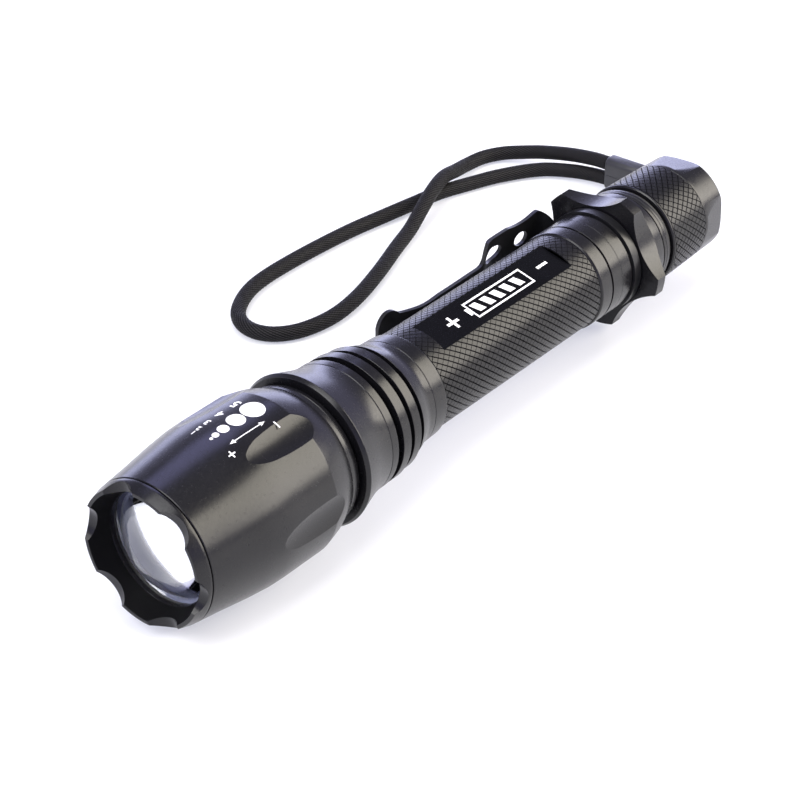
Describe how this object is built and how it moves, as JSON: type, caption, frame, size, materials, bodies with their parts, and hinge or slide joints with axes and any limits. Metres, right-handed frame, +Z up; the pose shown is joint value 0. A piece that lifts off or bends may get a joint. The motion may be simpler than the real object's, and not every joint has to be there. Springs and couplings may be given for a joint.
{
  "type": "tactical flashlight",
  "caption": "Zooming tactical flashlight with finned neck, knurled grip, pocket clip, lobed anti-roll ring, screw-on tailcap with push button, and wrist lanyard.",
  "frame": {"origin": "on the surface the torch lies on, under the middle of the torch itself (without its lanyard), head and lobes included", "axes": "+X along the torch towards the lens, +Z up, +Y to the left; the pocket clip and the lanyard are on the -Y side"},
  "size_m": [0.2381, 0.1033, 0.04],
  "materials": {
    "black_anodised": "satin black hard-anodised aluminium",
    "black_steel": "black-coated spring steel",
    "black_rubber": "matte black rubber",
    "clear_lens": "clear polished lens",
    "white_plastic": "white moulded plastic",
    "raw_aluminium": "turned aluminium",
    "brass": "turned brass",
    "spring_steel": "bright spring wire",
    "circuit_board": "green solder mask",
    "emitter_yellow": "yellow phosphor under clear dome",
    "black_plastic": "satin black plastic",
    "cell_wrap": "blue shrink wrap",
    "wire_red": "red wire insulation",
    "black_braid": "braided polyester cord"
  },
  "bodies": {
    "torch_body": {"body_tube": "black_anodised", "neck": "black_anodised", "neck_o_ring": "black_rubber", "zoom_o_ring_1": "black_rubber", "zoom_o_ring_2": "black_rubber", "led_holder": "raw_aluminium", "led_board": "white_plastic", "led_emitter": "emitter_yellow", "led_centring_ring": "white_plastic", "led_lead_positive": "wire_red", "led_lead_negative": "black_plastic", "driver_board": "circuit_board", "driver_ring": "brass", "driver_spring": "spring_steel", "cell_rear": "cell_wrap", "cell_front": "cell_wrap", "pocket_clip": "black_steel", "anti_roll_ring": "black_anodised", "lock_ring": "black_anodised", "tail_o_ring": "black_rubber", "lanyard_string": "black_braid", "lanyard_sleeve": "black_plastic", "lanyard_cord": "black_braid"},
    "zoom_head": {"head_shell": "black_anodised", "bezel": "black_anodised", "front_lens": "clear_lens", "lens_gasket": "black_rubber"},
    "switch_stack": {"click_switch": "black_plastic", "switch_board": "circuit_board", "tail_spring": "spring_steel"},
    "tailcap": {"tailcap_shell": "black_anodised", "switch_ring": "brass", "button_rim": "black_rubber", "button_washer": "spring_steel"},
    "button": {"button_dome": "black_rubber", "button_plunger": "black_plastic"}
  },
  "joints": [
    {"name": "zoom_slide", "type": "slide", "parent": "torch_body", "child": "zoom_head", "axis": [1, 0, 0], "range_m": [0, 0.01]},
    {"name": "tailcap_travel", "type": "slide", "parent": "torch_body", "child": "switch_stack", "axis": [-1, 0, 0], "range_m": [0, 0.0063]},
    {"name": "tailcap_turn", "type": "hinge", "parent": "switch_stack", "child": "tailcap", "pos_m": [0, 0, 0.02002], "axis": [-1, 0, 0], "range_deg": [0, 1800]},
    {"name": "button_press", "type": "slide", "parent": "switch_stack", "child": "button", "axis": [1, 0, 0], "range_m": [0, 0.0018], "stiffness_N_per_m": 900}
  ],
  "couplings": [
    {"joint": "tailcap_travel", "follows": "tailcap_turn", "m_per_rad": 0.00019894}
  ]
}
